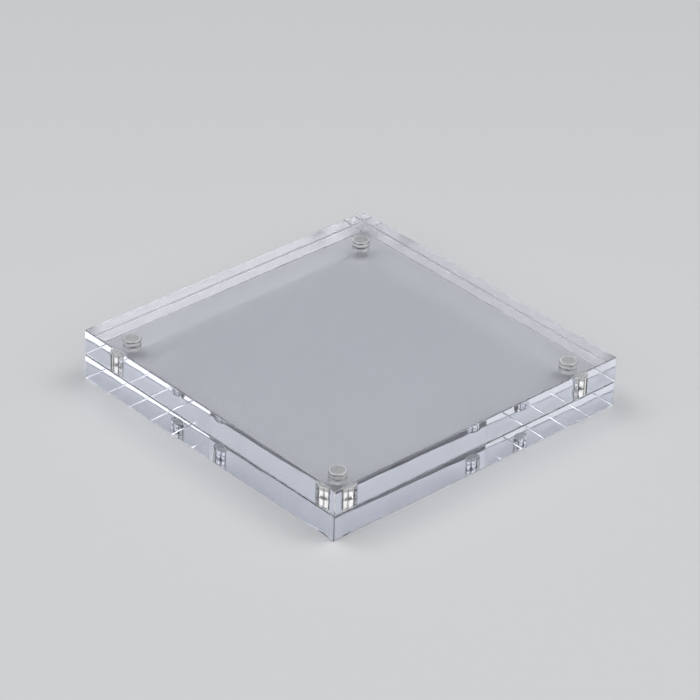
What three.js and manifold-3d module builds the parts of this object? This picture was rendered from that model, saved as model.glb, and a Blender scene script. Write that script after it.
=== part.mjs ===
// Block photo frame: two clear acrylic panels held face to face by magnets in their corners.
//
// The frame lies on its back, as it does on a table, with the viewing side up. The rear panel
// carries blind pockets in its upper face, each with a nickel-plated disc magnet bedded on a film
// of cured adhesive. The front panel is the same assembly turned over, so every magnet meets its
// opposite number across the seam where the print goes, and the front panel simply lifts off.
//
// Units are millimetres, +Z is up, and the origin is the centre of the face that the frame rests on.

import * as THREE from "three";
import { mergeVertices } from "three/addons/utils/BufferGeometryUtils.js";
import Module from "manifold-3d";

// Panels: square, to suit a 127 mm (5 in) print, sawn from nominal 10 mm cast sheet.
const panelWidth = 127;
const panelHeight = 127;
const frontPanelThickness = 9.6;
const rearPanelThickness = 9.6;
const edgeChamfer = 0.4; // polished flat on every outer edge
const seamGap = 0.2; // room for a print between the two inner faces

// Magnets: tumbled discs, set in from the two edges that meet at their corner.
const magnetDiameter = 6.35; // a quarter inch
const magnetThickness = 4;
const magnetRimRadius = 0.2;
const magnetInset = 11.4; // from either edge to the magnet's axis
const magnetSetback = 0.05; // below the panel's inner face, so that only the panels meet

// Pockets: flat-bottomed, milled from the inner face, with a deburred mouth.
const pocketClearance = 0.1; // all round the magnet
const pocketMouthChamfer = 0.15;

// Adhesive: a film that beds the magnet on the floor of its pocket.
const adhesiveThickness = 0.15;
const adhesiveMargin = 0.15; // how far the film stops short of the side of the magnet
const bedGap = 0.05; // above and below the film

// Facets on round forms.
const roundSegments = 32;
const rimSegments = 3;

const magnetRadius = magnetDiameter / 2;
const pocketRadius = magnetRadius + pocketClearance;
const adhesiveRadius = magnetRadius - adhesiveMargin;
const magnetSeatDepth = magnetSetback + magnetThickness;
const pocketDepth = magnetSeatDepth + bedGap + adhesiveThickness + bedGap;

// Corners are named as the upright frame is seen from the front.
const corners = [
  { name: "top_left", x: -1, y: 1 },
  { name: "top_right", x: 1, y: 1 },
  { name: "bottom_left", x: -1, y: -1 },
  { name: "bottom_right", x: 1, y: -1 },
];

const acrylic = new THREE.MeshStandardMaterial({
  name: "clear_acrylic",
  color: 0xeef3f5,
  roughness: 0.03,
  metalness: 0,
  transparent: true,
  opacity: 0.3,
});
const nickel = new THREE.MeshStandardMaterial({
  name: "nickel_plate",
  color: 0xc9c8c2,
  roughness: 0.22,
  metalness: 1,
});
const adhesive = new THREE.MeshStandardMaterial({
  name: "cured_adhesive",
  color: 0xc4c6c3,
  roughness: 0.55,
  metalness: 0,
});

const wasm = await Module();
wasm.setup();

// Joining and cutting

// A closed geometry with its shared vertices merged and its collapsed triangles dropped.
function weld(geometry) {
  const bare = new THREE.BufferGeometry();
  bare.setAttribute("position", geometry.getAttribute("position"));
  bare.setIndex(geometry.index);
  const merged = mergeVertices(bare);
  const source = merged.index.array;
  const kept = [];
  for (let i = 0; i < source.length; i += 3) {
    const [a, b, c] = source.slice(i, i + 3);
    if (a !== b && b !== c && c !== a) kept.push(a, b, c);
  }
  merged.setIndex(kept);
  return merged;
}

function toSolid(geometry) {
  const welded = weld(geometry);
  const mesh = new wasm.Mesh({
    numProp: 3,
    vertProperties: new Float32Array(welded.getAttribute("position").array),
    triVerts: new Uint32Array(welded.index.array),
  });
  return new wasm.Manifold(mesh);
}

function toGeometry(solid) {
  const { vertProperties, triVerts } = solid.getMesh();
  const geometry = new THREE.BufferGeometry();
  geometry.setAttribute("position", new THREE.BufferAttribute(vertProperties, 3));
  geometry.setIndex(new THREE.BufferAttribute(triVerts, 1));
  const faceted = geometry.toNonIndexed();
  faceted.computeVertexNormals();
  return faceted;
}

// Shapes

// A body of revolution about Z. The profile lists [radius, z] from the axis below to the axis above.
function revolve(profile) {
  const points = profile.map(([radius, z]) => new THREE.Vector2(radius, z));
  return new THREE.LatheGeometry(points, roundSegments).rotateX(Math.PI / 2);
}

// A quarter round between two edges of a revolved profile, as [radius, z] points.
function quarterRound(centreRadius, centreZ, radius, startAngle) {
  const points = [];
  for (let step = 0; step <= rimSegments; step += 1) {
    const angle = startAngle + (step / rimSegments) * (Math.PI / 2);
    points.push([
      centreRadius + radius * Math.cos(angle),
      centreZ + radius * Math.sin(angle),
    ]);
  }
  return points;
}

// The outline of a panel with its four upright edges cut back by the polished chamfer.
function panelOutline() {
  const right = panelWidth / 2;
  const top = panelHeight / 2;
  const outline = new THREE.Shape();
  outline.moveTo(-right + edgeChamfer, -top);
  outline.lineTo(right - edgeChamfer, -top);
  outline.lineTo(right, -top + edgeChamfer);
  outline.lineTo(right, top - edgeChamfer);
  outline.lineTo(right - edgeChamfer, top);
  outline.lineTo(-right + edgeChamfer, top);
  outline.lineTo(-right, top - edgeChamfer);
  outline.lineTo(-right, -top + edgeChamfer);
  outline.closePath();
  return outline;
}

// A sawn and polished slab, from its outer face at z = 0 up to its inner face.
function panelBlank(thickness) {
  const slab = new THREE.ExtrudeGeometry(panelOutline(), {
    depth: thickness - 2 * edgeChamfer,
    bevelEnabled: true,
    bevelSegments: 1,
    bevelThickness: edgeChamfer,
    bevelSize: edgeChamfer,
    bevelOffset: -edgeChamfer,
  });
  return slab.translate(0, 0, edgeChamfer);
}

// What the end mill and the deburring tool take out of the inner face at z = 0.
function pocketCutter() {
  const mouthRadius = pocketRadius + pocketMouthChamfer;
  const overrun = pocketMouthChamfer;
  return revolve([
    [0, -pocketDepth],
    [pocketRadius, -pocketDepth],
    [pocketRadius, -pocketMouthChamfer],
    [mouthRadius, 0],
    [mouthRadius, overrun],
    [0, overrun],
  ]);
}

// A disc with rounded rims, from z = 0 up.
function magnetDisc() {
  const rimCentre = magnetRadius - magnetRimRadius;
  return revolve([
    [0, 0],
    ...quarterRound(rimCentre, magnetRimRadius, magnetRimRadius, -Math.PI / 2),
    ...quarterRound(rimCentre, magnetThickness - magnetRimRadius, magnetRimRadius, 0),
    [0, magnetThickness],
  ]);
}

// A film whose edge was drawn into a half round as it cured, from z = 0 up.
function adhesiveFilm() {
  const edgeRadius = adhesiveThickness / 2;
  const edgeCentre = adhesiveRadius - edgeRadius;
  const lowerEdge = quarterRound(edgeCentre, edgeRadius, edgeRadius, -Math.PI / 2);
  const upperEdge = quarterRound(edgeCentre, edgeRadius, edgeRadius, 0);
  return revolve([[0, 0], ...lowerEdge, ...upperEdge.slice(1), [0, adhesiveThickness]]);
}

// Pieces

function cornerAxis(corner) {
  return {
    x: corner.x * (panelWidth / 2 - magnetInset),
    y: corner.y * (panelHeight / 2 - magnetInset),
  };
}

function makePiece(name, geometry, material, x, y, z) {
  const piece = new THREE.Mesh(geometry, material);
  piece.name = name;
  piece.position.set(x, y, z);
  return piece;
}

function makePanel(name, thickness) {
  let panel = toSolid(panelBlank(thickness));
  for (const corner of corners) {
    const { x, y } = cornerAxis(corner);
    panel = panel.subtract(toSolid(pocketCutter().translate(x, y, thickness)));
  }
  return makePiece(name, toGeometry(panel), acrylic, 0, 0, 0);
}

// One panel with its magnets bedded in it, outer face down at z = 0. A panel that will be turned
// over about Y takes its left-hand names on its right, so that they come out right once turned.
function makePanelAssembly(side, thickness, turned) {
  const assembly = new THREE.Group();
  assembly.add(makePanel(`${side}_panel`, thickness));
  const pocketFloor = thickness - pocketDepth;
  const magnetBack = thickness - magnetSeatDepth;
  for (const corner of corners) {
    const { x, y } = cornerAxis(corner);
    const localX = turned ? -x : x;
    const film = `${side}_adhesive_${corner.name}`;
    const magnet = `${side}_magnet_${corner.name}`;
    assembly.add(makePiece(film, adhesiveFilm(), adhesive, localX, y, pocketFloor + bedGap));
    assembly.add(makePiece(magnet, magnetDisc(), nickel, localX, y, magnetBack));
  }
  return assembly;
}

const rearAssembly = makePanelAssembly("rear", rearPanelThickness, false);

const frontAssembly = makePanelAssembly("front", frontPanelThickness, true);
frontAssembly.rotation.y = Math.PI;
frontAssembly.position.z = rearPanelThickness + seamGap + frontPanelThickness;

const photoFrame = new THREE.Group();
photoFrame.name = "photo_frame";
photoFrame.add(rearAssembly, frontAssembly);

export default photoFrame;
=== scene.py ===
# %% [markdown]
# # A block photo frame in clear acrylic
#
# The frame is two thick, clear acrylic panels that lie face to face. Disc magnets sunk in their
# corners hold them together, and a print goes in the seam. There is no rim and no stand, so all
# that the eye gets is polished plastic, bright metal and what the light does in between.
#
# Clear things are hard to model by eye, because one mostly sees through them. So every piece here
# is built as the real one is made: sawn, eased, milled, plated and glued. The renderer then finds
# the reflections by itself.

# %% Load the measured model
import math

import bmesh
import bpy
from mathutils import Euler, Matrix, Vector


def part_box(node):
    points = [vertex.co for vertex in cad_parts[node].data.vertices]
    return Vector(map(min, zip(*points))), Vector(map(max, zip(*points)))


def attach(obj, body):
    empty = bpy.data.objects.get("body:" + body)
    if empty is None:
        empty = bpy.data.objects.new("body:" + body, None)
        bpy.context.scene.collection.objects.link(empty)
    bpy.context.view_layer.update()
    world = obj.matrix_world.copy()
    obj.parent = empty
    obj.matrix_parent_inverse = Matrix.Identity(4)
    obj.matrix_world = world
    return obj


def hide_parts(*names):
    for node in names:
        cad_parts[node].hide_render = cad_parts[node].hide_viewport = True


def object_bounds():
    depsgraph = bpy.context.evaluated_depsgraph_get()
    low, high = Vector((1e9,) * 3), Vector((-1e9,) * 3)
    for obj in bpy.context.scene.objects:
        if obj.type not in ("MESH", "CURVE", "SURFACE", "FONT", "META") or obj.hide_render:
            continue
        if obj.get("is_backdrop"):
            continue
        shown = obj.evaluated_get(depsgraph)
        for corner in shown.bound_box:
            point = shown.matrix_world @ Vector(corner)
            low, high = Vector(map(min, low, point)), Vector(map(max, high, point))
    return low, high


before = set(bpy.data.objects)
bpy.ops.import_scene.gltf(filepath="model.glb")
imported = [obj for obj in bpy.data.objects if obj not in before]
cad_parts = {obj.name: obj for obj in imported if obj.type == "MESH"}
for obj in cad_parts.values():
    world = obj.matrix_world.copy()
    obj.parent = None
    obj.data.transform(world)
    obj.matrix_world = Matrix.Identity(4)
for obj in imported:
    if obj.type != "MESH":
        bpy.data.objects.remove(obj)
cad_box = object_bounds()

# %% [markdown]
# ## Sizes
#
# The places of the panels, magnets and glue films come from the measured model, so nothing has to
# be fitted by eye. Only what lies inside a piece, such as the pocket that a magnet sits in, needs
# numbers of its own. Blender works in metres, so a named millimetre keeps those numbers readable.

# %% Read the sizes
MM = 0.001
CORNERS = ("top_left", "top_right", "bottom_left", "bottom_right")
SIDES = ("rear", "front")


def centre_of(node):
    low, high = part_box(node)
    return (Vector(low) + Vector(high)) / 2


def size_of(node):
    low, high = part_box(node)
    return Vector(high) - Vector(low)


def bottom_of(node):
    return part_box(node)[0][2]


panel_size = size_of("rear_panel")
magnet_size = size_of("rear_magnet_top_right")
film_size = size_of("rear_adhesive_top_right")
pocket_axis = centre_of("rear_magnet_top_right")
frame_height = cad_box[1].z
print("panel mm:", [round(edge / MM, 2) for edge in panel_size])
print("magnet mm:", [round(edge / MM, 2) for edge in magnet_size])

# %% [markdown]
# ## Camera
#
# The frame was photographed from far off with a long lens, so its edges stay nearly parallel. A
# camera can be placed by dragging it until the picture looks right. Here the corners of the frame
# in the photograph were solved for the lens, the place and the turn instead, and the camera only
# repeats that answer, with its slight roll.

# %% Place the camera
CAMERA_PLACE = Vector((-0.7510, -0.8071, 0.6996))
CAMERA_HEADING = math.radians(42.94)  # from +Y towards +X
CAMERA_DIP = math.radians(31.775)
CAMERA_ROLL = math.radians(1.854)
LENS_LENGTH = 197.8
SENSOR_WIDTH = 36.0


def aim(place_from, place_to):
    return (place_to - place_from).to_track_quat("-Z", "Y")


gaze = Vector((
    math.sin(CAMERA_HEADING) * math.cos(CAMERA_DIP),
    math.cos(CAMERA_HEADING) * math.cos(CAMERA_DIP),
    -math.sin(CAMERA_DIP),
))
bpy.ops.object.camera_add(location=CAMERA_PLACE)
camera = bpy.context.object
camera.name = "camera"
camera.rotation_mode = "QUATERNION"
roll = Euler((0, 0, CAMERA_ROLL)).to_quaternion()
camera.rotation_quaternion = gaze.to_track_quat("-Z", "Y") @ roll
camera.data.lens = LENS_LENGTH
camera.data.sensor_width = SENSOR_WIDTH
bpy.context.scene.camera = camera
print("camera is", round((CAMERA_PLACE - centre_of("front_panel")).length, 3), "m from the frame")

# %% [markdown]
# ## Small tools
#
# Operators act on whatever is selected, so every piece starts with nothing selected. In edit mode
# one picks faces and edges with the mouse. A script picks them by a test on where they are or which
# way they face.

# %% Selection tools
SQUARE_ON = 0.999  # of a normal that points straight along an axis
LEVEL_WITHIN = 0.01 * MM


def faces_up(face):
    return face.normal.z > SQUARE_ON


def faces_down(face):
    return face.normal.z < -SQUARE_ON


def lies_flat(face):
    return faces_up(face) or faces_down(face)


def runs_level(edge):
    return abs(edge.verts[0].co.z - edge.verts[1].co.z) < LEVEL_WITHIN


def pick_only(piece):
    bpy.ops.object.select_all(action="DESELECT")
    piece.select_set(True)
    bpy.context.view_layer.objects.active = piece


def pick_faces(test):
    bpy.ops.mesh.select_mode(type="FACE")
    bpy.ops.mesh.select_all(action="DESELECT")
    mesh = bmesh.from_edit_mesh(bpy.context.object.data)
    for face in mesh.faces:
        if test(face):
            face.select_set(True)
    bmesh.update_edit_mesh(bpy.context.object.data)


def pick_edges(test):
    bpy.ops.mesh.select_mode(type="EDGE")
    bpy.ops.mesh.select_all(action="DESELECT")
    mesh = bmesh.from_edit_mesh(bpy.context.object.data)
    for edge in mesh.edges:
        if test(edge):
            edge.select_set(True)
    bmesh.update_edit_mesh(bpy.context.object.data)


def copy_piece(piece, name, move):
    pick_only(piece)
    bpy.ops.object.duplicate()
    copy = bpy.context.object
    copy.name = name
    copy.location = move
    bpy.ops.object.transform_apply(location=True, rotation=True, scale=True)
    return copy


# %% [markdown]
# ## The panel blank
#
# A panel is sawn from cast sheet and its edges are polished with a diamond cutter, which leaves a
# narrow eased strip along every edge. That strip is what catches the light as a thin bright line,
# so a plain box would never look like acrylic. A cube at the panel's size gets a small bevel with a
# few steps. The faces stay flat-shaded, because a bent normal would bend everything seen through
# it.

# %% Saw the blank and ease its edges
EDGE_EASE = 0.4 * MM
EASE_STEPS = 4
EASE_PROFILE = 0.55  # a little fuller than a quarter round

bpy.ops.object.select_all(action="DESELECT")
bpy.ops.mesh.primitive_cube_add(size=1, location=centre_of("rear_panel"), scale=panel_size)
panel = bpy.context.object
panel.name = "rear_acrylic_panel"
bpy.ops.object.transform_apply(location=True, rotation=True, scale=True)
bpy.ops.object.mode_set(mode="EDIT")
bpy.ops.mesh.select_all(action="SELECT")
bpy.ops.mesh.bevel(
    offset=EDGE_EASE,
    segments=EASE_STEPS,
    profile=EASE_PROFILE,
    affect="EDGES",
)
bpy.ops.object.mode_set(mode="OBJECT")
print("blank:", len(panel.data.polygons), "faces")

# %% [markdown]
# ## The pockets
#
# Each magnet sits on a drop of glue in a blind pocket that was milled from the inner face. The glue
# has crept up round the magnet, and it bends light just as acrylic does, so the eye finds no gap
# there: the plastic seems to reach right up to the metal. A gap of air, however thin, would mirror
# like silver and hide part of the magnet. So the panel here takes in that clear glue. Its pocket
# hugs the magnet, rims and all, with a recess for the milky film behind it, and overlaps both by a
# hair.
#
# A round hole in a square face is easier to cut out than to draw: a cutter is shaped like the space
# that is left, and a Boolean takes it away. The cutter is a disc with rounded rims, with a step at
# its lower end for the recess and an upper end that is carried well out of the mouth. The magnets
# and the films start from such a disc too, so one tool makes it: a cylinder whose rims are
# bevelled, left in edit mode for what comes next.

# %% A disc with rounded rims
ROUND_STEPS = 96


def turn_disc(name, radius, depth, place, rim, rim_steps):
    bpy.ops.object.select_all(action="DESELECT")
    bpy.ops.mesh.primitive_cylinder_add(
        vertices=ROUND_STEPS,
        radius=radius,
        depth=depth,
        location=place,
    )
    disc = bpy.context.object
    disc.name = name
    bpy.ops.object.transform_apply(location=True, rotation=True, scale=True)
    bpy.ops.object.mode_set(mode="EDIT")
    pick_edges(runs_level)
    bpy.ops.mesh.bevel(offset=rim, segments=rim_steps, affect="EDGES")
    return disc


# %% Shape the cutter
HUG = 0.01 * MM
RIM_RADIUS = 0.2 * MM
RIM_STEPS = 5
CUTTER_OVERRUN = 0.5 * MM
RECESS_MARGIN = 0.25 * MM  # inside the film's widest outline, which is wavy

pocket_radius = magnet_size.x / 2 - HUG
pocket_depth = magnet_size.z - 2 * HUG
pocket_floor = bottom_of("rear_magnet_top_right") + HUG
recess_floor = bottom_of("rear_adhesive_top_right") + HUG
recess_radius = film_size.x / 2 - RECESS_MARGIN

cutter = turn_disc("cutter", pocket_radius, pocket_depth, pocket_axis, RIM_RADIUS, RIM_STEPS)
pick_faces(faces_down)
bpy.ops.mesh.inset(thickness=pocket_radius - RIM_RADIUS - recess_radius)
down = (0, 0, recess_floor - pocket_floor)
bpy.ops.mesh.extrude_region_move(TRANSFORM_OT_translate={"value": down})
print("pocket mm: radius", round(pocket_radius / MM, 2))
print("recess mm: radius", round(recess_radius / MM, 2), "depth", round(-down[2] / MM, 2))

# %% Carry the cutter out of the mouth
pick_faces(faces_up)
bpy.ops.mesh.extrude_region_move(TRANSFORM_OT_translate={"value": (0, 0, CUTTER_OVERRUN)})
bpy.ops.object.mode_set(mode="OBJECT")
print("cutter:", len(cutter.data.polygons), "faces")

# %% Mill the four pockets
cutters = [cutter]
for corner in CORNERS:
    move = centre_of(f"rear_magnet_{corner}") - pocket_axis
    if move.length > MM:
        cutters.append(copy_piece(cutter, "cutter", move))
pick_only(cutter)
for other in cutters:
    other.select_set(True)
bpy.ops.object.join()
pick_only(panel)
cut = panel.modifiers.new("pockets", "BOOLEAN")
cut.operation = "DIFFERENCE"
cut.solver = "EXACT"
cut.object = cutter
bpy.ops.object.modifier_apply(modifier=cut.name)
bpy.data.objects.remove(cutter)
print("milled panel:", len(panel.data.polygons), "faces")

# %% [markdown]
# ## What the tools left behind
#
# The faces and the sawn edges of a panel are polished clear. The eased strips are scraped and only
# buffed, so they mirror less sharply, and the end mill leaves the pockets slightly hazy. These
# could be separate materials, but a clear solid with several of them confuses the renderer about
# where the plastic begins. So the mesh itself stores a number for the haze of each face, and one
# material reads it.

# %% Mark the haze of every face
POLISHED = 0.0
BUFFED = 0.2
MILLED = 0.05
MARK_MARGIN = 0.02 * MM


def from_axis(place):
    return (Vector((abs(place.x), abs(place.y))) - pocket_axis.xy).length


def haze_of(face):
    places = [panel.data.vertices[index].co for index in face.vertices]
    if max(map(from_axis, places)) < pocket_radius + MARK_MARGIN:
        return MILLED
    square = max(abs(part) for part in face.normal) > SQUARE_ON
    return POLISHED if square else BUFFED


hazes = [haze_of(face) for face in panel.data.polygons]
panel.data.attributes.new("haze", "FLOAT", "FACE").data.foreach_set("value", hazes)
print("faces by haze:", {haze: hazes.count(haze) for haze in sorted(set(hazes))})

# %% [markdown]
# ## Two panels from one
#
# The front panel is the same panel turned over, which brings its pockets down to meet the others.
# It is turned and not mirrored, because a mirrored mesh would be inside out. Smoothing by angle
# rounds the pocket walls and leaves every polished face flat.

# %% Smooth the pockets and turn a copy over
SMOOTH_BELOW = math.radians(5)  # less than the first step of the eased strips

pick_only(panel)
bpy.ops.object.shade_smooth_by_angle(angle=SMOOTH_BELOW)
bpy.ops.object.duplicate()
turned_panel = bpy.context.object
turned_panel.name = "front_acrylic_panel"
turned_panel.rotation_euler = (0, math.pi, 0)
turned_panel.location = (0, 0, frame_height)
bpy.ops.object.transform_apply(location=True, rotation=True, scale=True)
panels = {"rear": panel, "front": turned_panel}
print("panels:", [piece.name for piece in panels.values()])

# %% [markdown]
# ## The magnets
#
# A disc magnet is pressed, ground flat, tumbled until its rims are round, and plated with nickel.
# The disc with rounded rims is nearly all of it. The end faces get a narrow inset ring, so that the
# smooth shading of the rim ends there and the ground faces stay flat.

# %% Shape one magnet
FACE_MARGIN = 0.1 * MM
SMOOTH_RIM = math.radians(40)

magnet = turn_disc(
    "nickel_magnet",
    magnet_size.x / 2,
    magnet_size.z,
    pocket_axis,
    RIM_RADIUS,
    RIM_STEPS,
)
pick_faces(lies_flat)
bpy.ops.mesh.inset(thickness=FACE_MARGIN, use_individual=True)
bpy.ops.object.mode_set(mode="OBJECT")
bpy.ops.object.shade_smooth_by_angle(angle=SMOOTH_RIM)
print("magnet:", len(magnet.data.polygons), "faces")

# %% Copy the magnet to every pocket
magnets = {}
for side in SIDES:
    for corner in CORNERS:
        move = centre_of(f"{side}_magnet_{corner}") - pocket_axis
        magnets[side, corner] = copy_piece(magnet, f"{side}_nickel_magnet_{corner}", move)
bpy.data.objects.remove(magnet)
print("magnets:", len(magnets))

# %% [markdown]
# ## The glue
#
# Each magnet is bedded on a drop of glue, which spreads to an uneven disc as the magnet is pressed
# down. Seen through the panel, this milky film is the grey disc on the back of every magnet. It is
# a thin disc with a round edge, and its outline is pushed in and out by two slow waves that start
# elsewhere in each pocket.

# %% Spread a film in every pocket
FILM_EDGE = 0.06 * MM
FILM_STEPS = 3
FILM_WOBBLE = 0.012  # share of the radius
FILM_LOBES = (3, 5)  # of the two waves, round the outline


def make_film(name, node, start):
    middle = centre_of(node)
    film = turn_disc(name, film_size.x / 2, film_size.z, middle, FILM_EDGE, FILM_STEPS)
    pick_faces(lies_flat)
    bpy.ops.mesh.inset(thickness=FACE_MARGIN, use_individual=True)
    bpy.ops.object.mode_set(mode="OBJECT")
    for vertex in film.data.vertices:
        across = Vector((vertex.co.x - middle.x, vertex.co.y - middle.y, 0))
        angle = math.atan2(across.y, across.x)
        slow, quick = (lobes * angle for lobes in FILM_LOBES)
        wave = math.sin(slow + start) + math.sin(quick + 2 * start)
        vertex.co += across * FILM_WOBBLE * (wave / 2 - 1)  # only ever inwards
    bpy.ops.object.shade_smooth_by_angle(angle=SMOOTH_RIM)
    return film


films = {}
for side in SIDES:
    for corner in CORNERS:
        name = f"{side}_adhesive_film_{corner}"
        films[side, corner] = make_film(name, f"{side}_adhesive_{corner}", start=len(films))
print("films:", len(films))

# %% [markdown]
# ## Effects that several finishes share
#
# A finish is more than a colour: it has the traces of how the surface was made. Those traces are
# built once as node groups, with named sockets, and each material places them with its own values.
# All of them read Object coordinates. Every finished piece sits at the origin, so these are the
# same as the frame's own coordinates, and a pattern stays put when the front panel is lifted.

# %% Tools for node trees


def join(tree, source, socket):
    if isinstance(source, (int, float, tuple)):
        socket.default_value = source
    else:
        tree.links.new(source, socket)


def calculate(tree, operation, first, second=0.0, third=0.0):
    node = tree.nodes.new("ShaderNodeMath")
    node.operation = operation
    for source, socket in zip((first, second, third), node.inputs):
        join(tree, source, socket)
    return node.outputs[0]


def new_group(name, inputs, outputs):
    group = bpy.data.node_groups.new(name, "ShaderNodeTree")
    for label, value in inputs.items():
        socket = group.interface.new_socket(label, in_out="INPUT", socket_type="NodeSocketFloat")
        socket.default_value = value
    for label in outputs:
        group.interface.new_socket(label, in_out="OUTPUT", socket_type="NodeSocketFloat")
    given = group.nodes.new("NodeGroupInput").outputs
    results = group.nodes.new("NodeGroupOutput").inputs
    return group, given, results


def place_group(tree, group, **values):
    node = tree.nodes.new("ShaderNodeGroup")
    node.node_tree = group
    for label, source in values.items():
        join(tree, source, node.inputs[label.capitalize()])
    return node.outputs


def object_place(tree):
    return tree.nodes.new("ShaderNodeTexCoord").outputs["Object"]


# %% [markdown]
# The pockets, magnets and films all stand round the same four axes. By taking x and y without their
# signs, one axis stands for all four, and every finish can ask how far it is from that axis.

# %% Distance from the pocket axis
axis_group, _, results = new_group("distance_from_axis", {}, ("Radius",))
split = axis_group.nodes.new("ShaderNodeSeparateXYZ")
axis_group.links.new(object_place(axis_group), split.inputs[0])
squares = []
for label, centre in (("X", pocket_axis.x), ("Y", pocket_axis.y)):
    unsigned = calculate(axis_group, "ABSOLUTE", split.outputs[label])
    offset = calculate(axis_group, "SUBTRACT", unsigned, centre)
    squares.append(calculate(axis_group, "MULTIPLY", offset, offset))
total = calculate(axis_group, "ADD", *squares)
axis_group.links.new(calculate(axis_group, "SQRT", total), results["Radius"])
print("distance from axis:", len(axis_group.nodes), "nodes")

# %% [markdown]
# A turning tool leaves rings: the end mill on the floor of a pocket, the lapping wheel on the face
# of a magnet. A sine of the radius draws them, and a little noise keeps them from looking printed.

# %% Turned rings
RING_WANDER = 0.8  # turns
WANDER_LENGTH = 1 * MM

ring_group, given, results = new_group("turned_rings", {"Spacing": 0.2 * MM}, ("Height",))
radius = place_group(ring_group, axis_group)["Radius"]
noise = ring_group.nodes.new("ShaderNodeTexNoise")
noise.inputs["Scale"].default_value = 1 / WANDER_LENGTH
ring_group.links.new(object_place(ring_group), noise.inputs["Vector"])
turns = calculate(ring_group, "DIVIDE", radius, given["Spacing"])
phase = calculate(ring_group, "MULTIPLY", turns, 2 * math.pi)
wander = calculate(ring_group, "MULTIPLY_ADD", noise.outputs[0], RING_WANDER * 2 * math.pi, phase)
wave = calculate(ring_group, "SINE", wander)
height = calculate(ring_group, "MULTIPLY_ADD", wave, 0.5, 0.5)  # a sine brought between 0 and 1
ring_group.links.new(height, results["Height"])
print("turned rings:", len(ring_group.nodes), "nodes")

# %% [markdown]
# A tool that is fed along leaves lines across its way: the diamond cutter along the edges of a
# panel, the grinding wheel round the side of a magnet. Noise in one dimension, along the way that
# the tool went, gives lines of uneven depth.

# %% Tool lines
line_group, given, results = new_group("tool_lines", {"Way": 0.0, "Spacing": 0.4 * MM}, ("Height",))
noise = line_group.nodes.new("ShaderNodeTexNoise")
noise.noise_dimensions = "1D"
noise.inputs["Scale"].default_value = 1.0
lines_passed = calculate(line_group, "DIVIDE", given["Way"], given["Spacing"])
line_group.links.new(lines_passed, noise.inputs["W"])
line_group.links.new(noise.outputs[0], results["Height"])
print("tool lines:", len(line_group.nodes), "nodes")

# %% [markdown]
# Mottle is the soft, cloudy unevenness of glue that cured in patches and of plating that has been
# handled. It is plain noise with its contrast turned up. Stretched over a hand's breadth, the same
# noise is the slow wave that stays in a polished surface.

# %% Mottle
mottle_group, given, results = new_group("mottle", {"Size": 1 * MM, "Contrast": 2.0}, ("Amount",))
noise = mottle_group.nodes.new("ShaderNodeTexNoise")
mottle_group.links.new(object_place(mottle_group), noise.inputs["Vector"])
mottle_group.links.new(calculate(mottle_group, "DIVIDE", 1.0, given["Size"]), noise.inputs["Scale"])
centred = calculate(mottle_group, "SUBTRACT", noise.outputs[0], 0.5)
spread = calculate(mottle_group, "MULTIPLY_ADD", centred, given["Contrast"], 0.5)
limited = calculate(mottle_group, "MAXIMUM", calculate(mottle_group, "MINIMUM", spread, 1.0), 0.0)
mottle_group.links.new(limited, results["Amount"])
print("mottle:", len(mottle_group.nodes), "nodes")

# %% [markdown]
# ## Clear acrylic
#
# Acrylic is glass-clear with an index of 1.49, and it only shows a faint blue where light has run
# through a hand's breadth of it, as along the edges. A tinted surface can't tell a long way from a
# short one, so the colour comes from absorption inside the volume.
#
# Polished acrylic is never quite flat. Slow waves over its faces and the fine lines that the
# diamond cutter left on its edges bend the reflections inside it a little, which is why their
# borders look soft and hand-made. Both are far too shallow to model, so they are bumps.

# %% Acrylic
ACRYLIC_IOR = 1.49
ACRYLIC_CLEAR = (0.99, 0.99, 1.0, 1)
ABSORB_COLOUR = (0.905, 0.925, 0.98, 1)
ABSORB_DENSITY = 10.0  # per metre
WAVE_LENGTH = 30 * MM
WAVE_CONTRAST = 1.0  # of the noise as it comes
WAVE_HEIGHT = 0.025  # heights are in millimetres
CUTTER_FEED = 0.4 * MM
CUTTER_HEIGHT = 0.0002
UPRIGHT_BELOW = 0.1  # of the normal, along Z


def new_material(name):
    material = bpy.data.materials.new(name)
    material.use_nodes = True
    tree = material.node_tree
    return material, tree, tree.nodes["Principled BSDF"]


def bump(tree, shader, height):
    node = tree.nodes.new("ShaderNodeBump")
    node.inputs["Distance"].default_value = MM
    tree.links.new(height, node.inputs["Height"])
    tree.links.new(node.outputs["Normal"], shader.inputs["Normal"])


acrylic, tree, shader = new_material("clear_acrylic")
shader.inputs["Base Color"].default_value = ACRYLIC_CLEAR
shader.inputs["IOR"].default_value = ACRYLIC_IOR
shader.inputs["Transmission Weight"].default_value = 1.0
absorb = tree.nodes.new("ShaderNodeVolumeAbsorption")
absorb.inputs["Color"].default_value = ABSORB_COLOUR
absorb.inputs["Density"].default_value = ABSORB_DENSITY
tree.links.new(absorb.outputs["Volume"], tree.nodes["Material Output"].inputs["Volume"])

haze = tree.nodes.new("ShaderNodeAttribute")
haze.attribute_name = "haze"
tree.links.new(haze.outputs["Fac"], shader.inputs["Roughness"])

# %% Waves and tool marks in the acrylic
split = tree.nodes.new("ShaderNodeSeparateXYZ")
tree.links.new(object_place(tree), split.inputs[0])
facing = tree.nodes.new("ShaderNodeSeparateXYZ")
tree.links.new(tree.nodes.new("ShaderNodeNewGeometry").outputs["True Normal"], facing.inputs[0])
tilt = calculate(tree, "ABSOLUTE", facing.outputs["Z"])
on_edge = calculate(tree, "LESS_THAN", tilt, UPRIGHT_BELOW)

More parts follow.
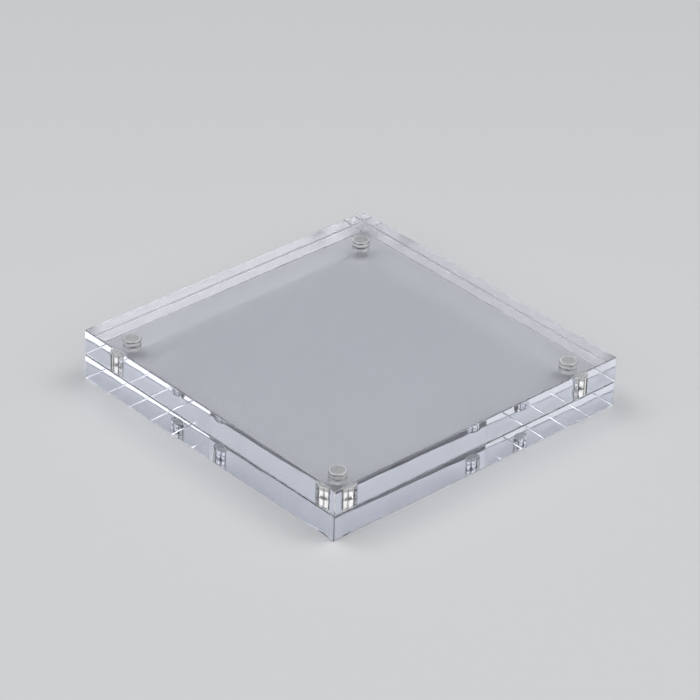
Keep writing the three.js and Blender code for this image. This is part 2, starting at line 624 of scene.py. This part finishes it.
along = calculate(tree, "ADD", split.outputs["X"], split.outputs["Y"])
waves = place_group(tree, mottle_group, size=WAVE_LENGTH, contrast=WAVE_CONTRAST)["Amount"]
lines = place_group(tree, line_group, way=along, spacing=CUTTER_FEED)["Height"]
edge_lines = calculate(tree, "MULTIPLY", lines, on_edge)
height = calculate(tree, "MULTIPLY", waves, WAVE_HEIGHT)
height = calculate(tree, "MULTIPLY_ADD", edge_lines, CUTTER_HEIGHT, height)
bump(tree, shader, height)
print("acrylic:", len(tree.nodes), "nodes")

# %% [markdown]
# ## Nickel plate
#
# Nickel is a slightly warm, bright metal. The magnets were ground round, lapped flat and tumbled
# before they were plated, and the plating follows all of it: lines round the side, rings on the
# faces, and cloudy patches where the tumbling was uneven. Those patches change how sharply the
# metal mirrors its surroundings, so they drive the roughness as well as the colour.

# %% Nickel
NICKEL_DARK = (0.62, 0.61, 0.59, 1)
NICKEL_LIGHT = (0.82, 0.81, 0.795, 1)
NICKEL_SHARP = 0.04
NICKEL_SOFT = 0.12
NICKEL_PATCH = 0.9 * MM
NICKEL_CONTRAST = 2.5
GRIND_FEED = 0.06 * MM
GRIND_HEIGHT = 0.0012
LAP_FEED = 0.12 * MM
LAP_HEIGHT = 0.001


def between(tree, amount, low, high, start=0.0, end=1.0):
    node = tree.nodes.new("ShaderNodeMapRange")
    tree.links.new(amount, node.inputs["Value"])
    node.inputs["From Min"].default_value = start
    node.inputs["From Max"].default_value = end
    node.inputs["To Min"].default_value = low
    node.inputs["To Max"].default_value = high
    return node.outputs["Result"]


def blend_colours(tree, amount, low, high):
    node = tree.nodes.new("ShaderNodeMix")
    node.data_type = "RGBA"
    tree.links.new(amount, node.inputs["Factor"])
    join(tree, low, node.inputs["A"])
    join(tree, high, node.inputs["B"])
    return node.outputs["Result"]


nickel, tree, shader = new_material("nickel_plate")
shader.inputs["Metallic"].default_value = 1.0
patches = place_group(tree, mottle_group, size=NICKEL_PATCH, contrast=NICKEL_CONTRAST)["Amount"]
tree.links.new(blend_colours(tree, patches, NICKEL_LIGHT, NICKEL_DARK), shader.inputs["Base Color"])
tree.links.new(between(tree, patches, NICKEL_SHARP, NICKEL_SOFT), shader.inputs["Roughness"])

split = tree.nodes.new("ShaderNodeSeparateXYZ")
tree.links.new(object_place(tree), split.inputs[0])
lines = place_group(tree, line_group, way=split.outputs["Z"], spacing=GRIND_FEED)["Height"]
rings = place_group(tree, ring_group, spacing=LAP_FEED)["Height"]
height = calculate(tree, "MULTIPLY", lines, GRIND_HEIGHT)
bump(tree, shader, calculate(tree, "MULTIPLY_ADD", rings, LAP_HEIGHT, height))
print("nickel:", len(tree.nodes), "nodes")

# %% [markdown]
# ## Cured glue
#
# In the middle the glue is thin and dull grey. Round its edge a nearly white ring is painted on:
# a painted highlight that stands in for the bright rounded rim of the magnet. The distance from the
# pocket axis tells the two apart.
#
# The glue cured in patches and holds small bubbles, so its grey is mottled, and each bubble is a
# round spot in the middle of a cell of a cell texture. It also took the print of the rings that
# the end mill left on the floor of the pocket.

# %% Glue
GLUE_DARK = (0.47, 0.47, 0.46, 1)
GLUE_LIGHT = (0.67, 0.67, 0.65, 1)
GLUE_SMOOTH = 0.35
GLUE_ROUGH = 0.6
GLUE_PATCH = 1.1 * MM
GLUE_CONTRAST = 1.8
BUBBLE_SPACING = 0.8 * MM
BUBBLE_SIZE = 0.22  # share of the spacing
BUBBLE_DEPTH = 0.008
BUBBLE_SHADE = 0.35
MILL_FEED = 0.25 * MM
MILL_DEPTH = 0.006
MILL_SHADE = 0.2
# Painted highlight: a nearly white ring near the edge of the film stands in for the bright rounded
# rim of the magnet.
PAINTED_HIGHLIGHT_COLOUR = (0.95, 0.95, 0.94, 1)
PAINTED_HIGHLIGHT_START = 2.45 * MM  # from the pocket axis
PAINTED_HIGHLIGHT_END = 2.6 * MM

glue, tree, shader = new_material("cured_glue")
patches = place_group(tree, mottle_group, size=GLUE_PATCH, contrast=GLUE_CONTRAST)["Amount"]
cells = tree.nodes.new("ShaderNodeTexVoronoi")
cells.inputs["Scale"].default_value = 1 / BUBBLE_SPACING
tree.links.new(object_place(tree), cells.inputs["Vector"])
bubbles = calculate(tree, "LESS_THAN", cells.outputs["Distance"], BUBBLE_SIZE)
rings = place_group(tree, ring_group, spacing=MILL_FEED)["Height"]
shade = calculate(tree, "MULTIPLY_ADD", bubbles, BUBBLE_SHADE, patches)
shade = calculate(tree, "MULTIPLY_ADD", rings, MILL_SHADE, shade)
grey = blend_colours(tree, shade, GLUE_DARK, GLUE_LIGHT)
# The painted highlight: between these radii the grey turns nearly white, a ring in place of the
# magnet's bright rim.
radius = place_group(tree, axis_group)["Radius"]
painted_highlight = between(tree, radius, 0.0, 1.0, PAINTED_HIGHLIGHT_START, PAINTED_HIGHLIGHT_END)
tree.links.new(blend_colours(tree, painted_highlight, grey, PAINTED_HIGHLIGHT_COLOUR), shader.inputs["Base Color"])
tree.links.new(between(tree, patches, GLUE_SMOOTH, GLUE_ROUGH), shader.inputs["Roughness"])
height = calculate(tree, "MULTIPLY", rings, MILL_DEPTH)
bump(tree, shader, calculate(tree, "MULTIPLY_ADD", bubbles, -BUBBLE_DEPTH, height))
print("glue:", len(tree.nodes), "nodes")

# %% [markdown]
# ## Dressing the pieces
#
# Every piece gets its finish, takes the place of its node in the measured model, and rides on the
# panel that it belongs to. When the front panel is lifted, its magnets and glue go with it.

# %% Dress every piece and let it ride on its body


def dress(piece, finish, node, body):
    piece.data.materials.append(finish)
    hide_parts(node)
    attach(piece, body)


for side in SIDES:
    dress(panels[side], acrylic, f"{side}_panel", side)
    for corner in CORNERS:
        dress(magnets[side, corner], nickel, f"{side}_magnet_{corner}", side)
        dress(films[side, corner], glue, f"{side}_adhesive_{corner}", side)
print("dressed:", len(panels) + len(magnets) + len(films), "pieces")

# %% [markdown]
# ## The floor
#
# A clear object takes most of its look from what is behind it, so the floor is plain and pale. It
# lies a hair below the frame, because two faces at the same height would fight over which is in
# front. Seen from below it is see-through, so that the underside of the frame can be looked at too.

# %% Floor
FLOOR_DROP = 0.1 * MM
FLOOR_SPAN = 8.0
FLOOR_COLOUR = (0.60, 0.61, 0.62, 1)
FLOOR_ROUGHNESS = 0.9
FLOOR_GLOSS = 0.1

bpy.ops.object.select_all(action="DESELECT")
bpy.ops.mesh.primitive_plane_add(size=FLOOR_SPAN, location=(0, 0, -FLOOR_DROP))
floor = bpy.context.object
floor.name = "floor"
paper, tree, shader = new_material("pale_floor")
shader.inputs["Base Color"].default_value = FLOOR_COLOUR
shader.inputs["Roughness"].default_value = FLOOR_ROUGHNESS
shader.inputs["Specular IOR Level"].default_value = FLOOR_GLOSS
from_below = tree.nodes.new("ShaderNodeNewGeometry").outputs["Backfacing"]
one_sided = tree.nodes.new("ShaderNodeMixShader")
tree.links.new(from_below, one_sided.inputs["Fac"])
tree.links.new(shader.outputs["BSDF"], one_sided.inputs[1])
tree.links.new(tree.nodes.new("ShaderNodeBsdfTransparent").outputs["BSDF"], one_sided.inputs[2])
tree.links.new(one_sided.outputs["Shader"], tree.nodes["Material Output"].inputs["Surface"])
floor.data.materials.append(paper)
floor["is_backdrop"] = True
print("floor:", FLOOR_SPAN, "m wide")

# %% [markdown]
# ## Studio light
#
# Flat, clear faces can only show a few directions of the room: seen from a corner, the light that
# comes through the sides has bounced off the other sides on its way. A ring of softboxes stands at
# the camera's height. The strong one on the right and the weak one on the left lie on those ways,
# and they turn into the white bands inside the edges.
#
# The three in front are for the magnets. A round, bright side mirrors half of the room, so each
# softbox becomes a white stripe on it, and each gap between two of them a dark one. There is no
# lamp at the back, because the top face would mirror it as a veil.
#
# Two softboxes overhead light the floor, and the eased strips turn them into the light lines that
# divide the sides into tiles. One large softbox right above would do for the floor, but the top
# face would mirror it when it is seen from above. These two stand apart, so it looks up between
# them.

# %% Softboxes
RING_DISTANCE = 1.5
RING_HEIGHT = math.radians(31.8)
RING_LAMPS = {  # heading in degrees from +X, width, height, radiance
    "left": (133, 0.80, 0.5, 0.7),
    "front_left": (173.5, 1.10, 0.6, 1.3),
    "front": (227, 1.50, 0.6, 1.3),
    "front_right": (274.5, 0.76, 0.6, 1.3),
    "right": (313, 1.00, 0.5, 1.3),
}
OVERHEAD_PLACES = {
    "overhead_left": Vector((-0.45, 0.65, 1.5)),
    "overhead_right": Vector((0.65, -0.45, 1.5)),
}
OVERHEAD_SPAN = 1.1
OVERHEAD_RADIANCE = 3.4
DIM_ROOM = (0.08, 0.08, 0.085, 1)


def softbox(name, place, width, height, radiance):
    bpy.ops.object.light_add(type="AREA", location=place)
    lamp = bpy.context.object
    lamp.name = name
    lamp.rotation_mode = "QUATERNION"
    lamp.rotation_quaternion = aim(place, Vector((0, 0, frame_height / 2)))
    lamp.data.shape = "RECTANGLE"
    lamp.data.size = width
    lamp.data.size_y = height
    lamp.data.energy = radiance * width * height * math.pi
    print(name, "softbox:", round(lamp.data.energy, 1), "W")


for name, place in OVERHEAD_PLACES.items():
    softbox(name, place, OVERHEAD_SPAN, OVERHEAD_SPAN, OVERHEAD_RADIANCE)
for name, (heading, width, height, radiance) in RING_LAMPS.items():
    turn = Euler((0, -RING_HEIGHT, math.radians(heading)))
    place = turn.to_matrix() @ Vector((RING_DISTANCE, 0, 0))
    softbox(name, place, width, height, radiance)

world = bpy.data.worlds.new("studio")
bpy.context.scene.world = world
world.use_nodes = True
world.node_tree.nodes["Background"].inputs["Color"].default_value = DIM_ROOM

# %% [markdown]
# ## Rendering clear plastic
#
# Light inside a polished block bounces many times before it leaves, so the number of bounces goes
# up. Blurring of reflected light is turned off, because it would keep the light that falls through
# the block from the floor.

# %% Render settings
BOUNCES = 32

scene = bpy.context.scene
scene.view_settings.view_transform = "Standard"
scene.cycles.max_bounces = BOUNCES
scene.cycles.transmission_bounces = BOUNCES
scene.cycles.glossy_bounces = BOUNCES
scene.cycles.blur_glossy = 0.0
print("bounces:", scene.cycles.max_bounces)

# %% [markdown]
# ## Two boxes
#
# The pieces were built on the measured model, so the box round them should be the box round the
# model. Both boxes are printed, so that they can be compared.

# %% Print both boxes
boxes = {"cad": cad_box, "visual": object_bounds()}
boxes = {name: [list(corner) for corner in box] for name, box in boxes.items()}
print("boxes:", boxes)
